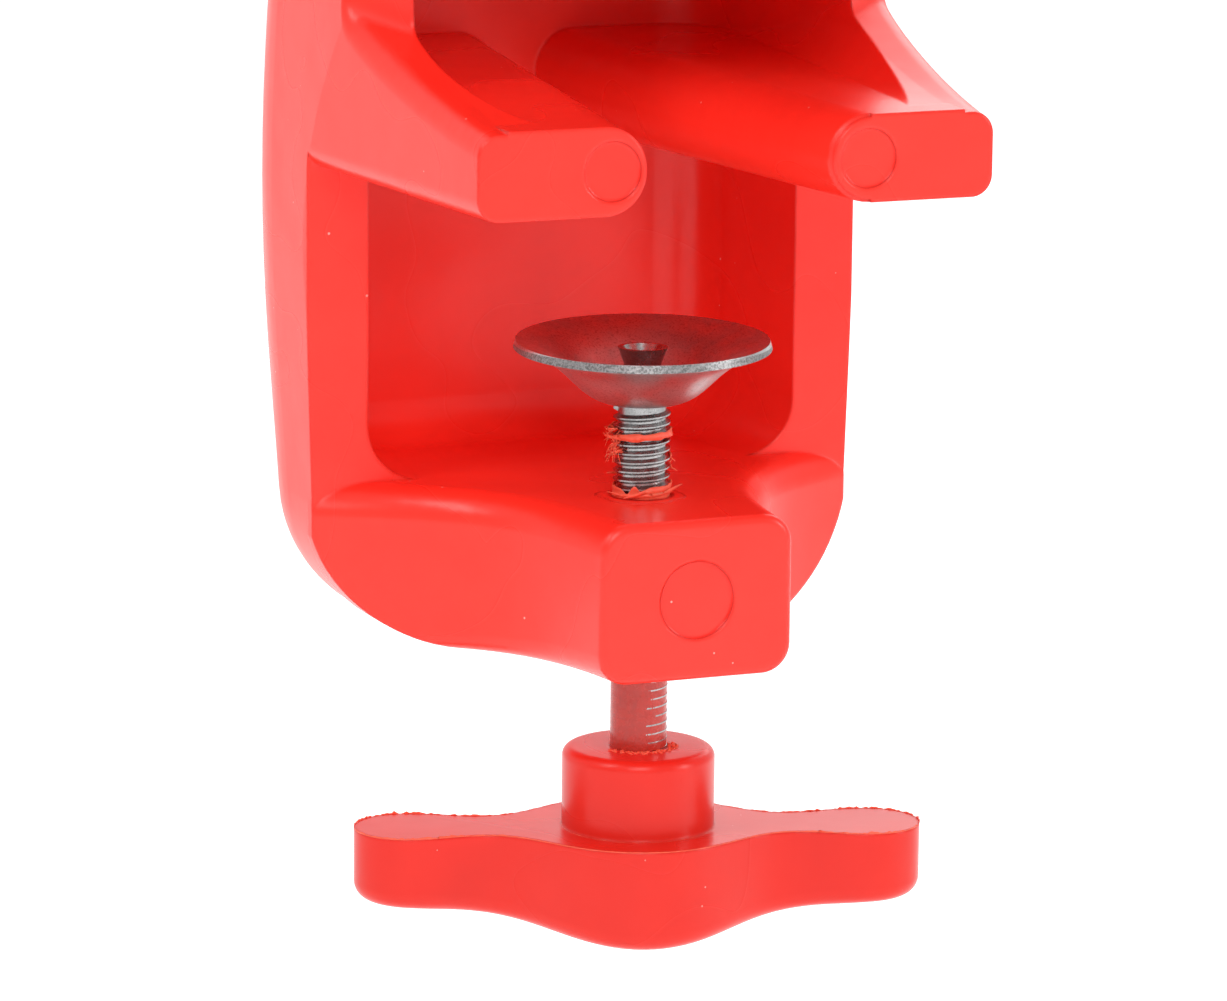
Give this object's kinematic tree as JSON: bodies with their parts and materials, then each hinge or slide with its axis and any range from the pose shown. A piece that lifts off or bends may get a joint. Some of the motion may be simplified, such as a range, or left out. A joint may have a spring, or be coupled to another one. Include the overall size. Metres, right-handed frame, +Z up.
{
  "type": "hand crank meat grinder",
  "caption": "Plastic household meat grinder: clamps to a table edge with a dish-ended screw; a crank turns an auger and knife behind a perforated plate.",
  "frame": {"origin": "where the table's top edge meets the clamp: on the middle plane, on the prongs' underside and in the plane of the column's rims", "axes": "+Z up, -Y towards the grinder's outlet and over the table, +Y towards the crank, X across the clamp"},
  "size_m": [0.1, 0.1886, 0.3015],
  "materials": {
    "red_plastic": "glossy red moulded plastic with ejector marks",
    "white_plastic": "off-white food-grade plastic",
    "zinc_steel": "bright zinc-plated steel",
    "tool_steel": "ground tool steel",
    "bush_nylon": "dark nylon bearing material"
  },
  "bodies": {
    "frame": {"housing": "red_plastic", "rear_bush": "bush_nylon", "plate_pin": "tool_steel"},
    "tray": {"hopper_tray": "red_plastic"},
    "pusher": {"feed_pusher": "white_plastic"},
    "drive": {"auger_screw": "white_plastic", "auger_shaft": "tool_steel", "thrust_washer": "bush_nylon", "cross_knife": "tool_steel", "crank_arm": "red_plastic", "crank_insert": "zinc_steel", "grip_axle": "zinc_steel", "grip_washer": "zinc_steel"},
    "grip": {"crank_grip": "white_plastic", "grip_cap": "red_plastic"},
    "thumb_washer": {"crank_washer": "zinc_steel"},
    "thumbscrew": {"thumbscrew_head": "red_plastic", "thumbscrew_stud": "zinc_steel"},
    "plate": {"grinding_plate": "tool_steel"},
    "nut": {"ring_nut": "red_plastic"},
    "pad": {"clamp_pad": "zinc_steel"},
    "clamp": {"clamp_screw": "zinc_steel", "clamp_handle": "red_plastic"}
  },
  "joints": [
    {"name": "crank_turn", "type": "hinge", "parent": "frame", "child": "drive", "pos_m": [0, 0, 0.072], "axis": [0, 1, 0], "continuous": true},
    {"name": "grip_turn", "type": "hinge", "parent": "drive", "child": "grip", "pos_m": [0, 0.1, 0.182], "axis": [0, 1, 0], "continuous": true},
    {"name": "thumb_travel", "type": "slide", "parent": "drive", "child": "thumb_washer", "axis": [0, 1, 0], "range_m": [0, 0.012]},
    {"name": "thumbscrew_turn", "type": "hinge", "parent": "thumb_washer", "child": "thumbscrew", "pos_m": [0, 0.065, 0.072], "axis": [0, 1, 0], "range_deg": [0, 4320]},
    {"name": "plate_travel", "type": "slide", "parent": "frame", "child": "plate", "axis": [0, -1, 0], "range_m": [0, 0.015]},
    {"name": "nut_turn", "type": "hinge", "parent": "plate", "child": "nut", "pos_m": [0, -0.045, 0.072], "axis": [0, -1, 0], "range_deg": [0, 1800]},
    {"name": "pad_travel", "type": "slide", "parent": "frame", "child": "pad", "axis": [0, 0, 1], "range_m": [-0.0129, 0.0129]},
    {"name": "clamp_turn", "type": "hinge", "parent": "pad", "child": "clamp", "pos_m": [0, -0.0214, -0.06], "axis": [0, 0, 1], "range_deg": [-3716, 3716]},
    {"name": "tray_lift", "type": "slide", "parent": "frame", "child": "tray", "axis": [0, 0, 1], "range_m": [0, 0.03]},
    {"name": "pusher_lift", "type": "slide", "parent": "tray", "child": "pusher", "axis": [0, 0, 1], "range_m": [0, 0.07]}
  ],
  "couplings": [
    {"joint": "thumbscrew_turn", "follows": "thumb_travel", "rad_per_m": 6283.2},
    {"joint": "nut_turn", "follows": "plate_travel", "rad_per_m": 2094.4},
    {"joint": "clamp_turn", "follows": "pad_travel", "rad_per_m": 5026.5}
  ]
}
